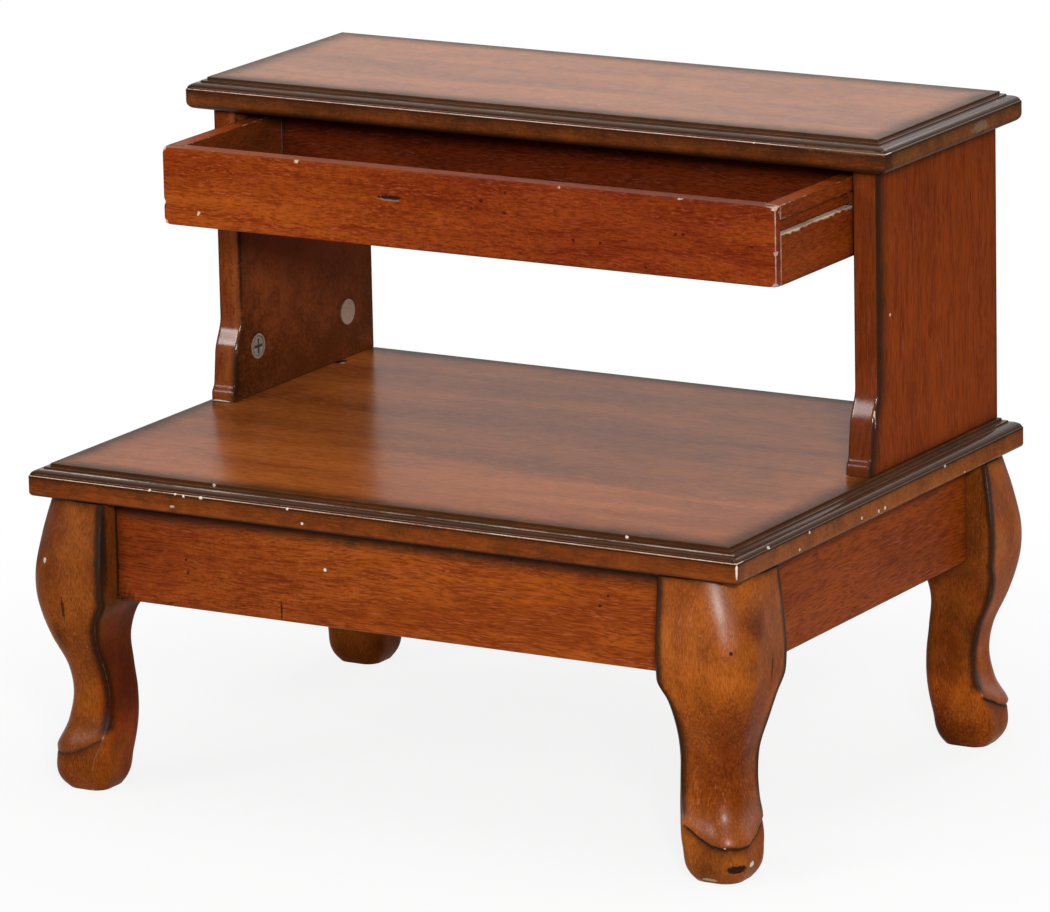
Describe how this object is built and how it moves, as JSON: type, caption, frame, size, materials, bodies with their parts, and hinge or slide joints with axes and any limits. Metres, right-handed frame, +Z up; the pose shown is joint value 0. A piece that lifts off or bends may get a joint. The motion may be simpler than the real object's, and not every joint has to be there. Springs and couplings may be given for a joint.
{
  "type": "step stool with drawer",
  "caption": "Bed step stool of stained wood with a wide lower tread, a narrow upper tread on scrolled side panels, a shallow drawer under it, and cabriole legs.",
  "frame": {"origin": "on the floor under the middle of the lower tread, which is the middle of the four feet", "axes": "+X to the right along the front, +Y to the back, +Z up; the drawer opens along -Y"},
  "size_m": [0.4638, 0.3528, 0.3808],
  "materials": {
    "tread_wood": "brown stain under satin lacquer",
    "panel_wood": "red-brown stain under satin lacquer",
    "drawer_wood": "warm brown stain under satin lacquer",
    "drawer_box_wood": "dark stain, thin lacquer",
    "leg_wood": "golden brown stain under satin lacquer",
    "plain_wood": "bare",
    "zinc_metal": "dull zinc",
    "cap_plastic": "matt"
  },
  "bodies": {
    "stool": {"back_apron": "drawer_wood", "back_left_board_screw": "zinc_metal", "back_left_corner_block": "plain_wood", "back_left_leg": "leg_wood", "back_left_leg_bolt": "zinc_metal", "back_rail": "panel_wood", "back_right_board_screw": "zinc_metal", "back_right_corner_block": "plain_wood", "back_right_leg": "leg_wood", "back_right_leg_bolt": "zinc_metal", "front_apron": "drawer_wood", "front_left_board_screw": "zinc_metal", "front_left_corner_block": "plain_wood", "front_left_leg": "leg_wood", "front_left_leg_bolt": "zinc_metal", "front_right_board_screw": "zinc_metal", "front_right_corner_block": "plain_wood", "front_right_leg": "leg_wood", "front_right_leg_bolt": "zinc_metal", "left_apron": "drawer_wood", "left_back_lower_cam": "zinc_metal", "left_back_lower_cam_bolt": "zinc_metal", "left_back_upper_cam": "zinc_metal", "left_back_upper_cam_bolt": "zinc_metal", "left_cam_cap": "cap_plastic", "left_drawer_runner": "plain_wood", "left_front_lower_cam": "zinc_metal", "left_front_lower_cam_bolt": "zinc_metal", "left_front_upper_cam": "zinc_metal", "left_front_upper_cam_bolt": "zinc_metal", "left_panel_dowel": "plain_wood", "left_rail_dowel": "plain_wood", "left_runner_back_screw": "zinc_metal", "left_runner_front_screw": "zinc_metal", "left_side_panel": "panel_wood", "lower_step_board": "tread_wood", "right_apron": "drawer_wood", "right_back_lower_cam": "zinc_metal", "right_back_lower_cam_bolt": "zinc_metal", "right_back_upper_cam": "zinc_metal", "right_back_upper_cam_bolt": "zinc_metal", "right_cam_cap": "cap_plastic", "right_drawer_runner": "plain_wood", "right_front_lower_cam": "zinc_metal", "right_front_lower_cam_bolt": "zinc_metal", "right_front_upper_cam": "zinc_metal", "right_front_upper_cam_bolt": "zinc_metal", "right_panel_dowel": "plain_wood", "right_rail_dowel": "plain_wood", "right_runner_back_screw": "zinc_metal", "right_runner_front_screw": "zinc_metal", "right_side_panel": "panel_wood", "upper_step_board": "tread_wood"},
    "drawer": {"drawer_back": "drawer_box_wood", "drawer_bottom": "drawer_box_wood", "drawer_front": "drawer_wood", "drawer_left_side": "drawer_box_wood", "drawer_right_side": "drawer_box_wood"}
  },
  "joints": [
    {"name": "drawer_slide", "type": "slide", "parent": "stool", "child": "drawer", "axis": [0, -1, 0], "range_m": [-0.0805, 0.018]}
  ]
}
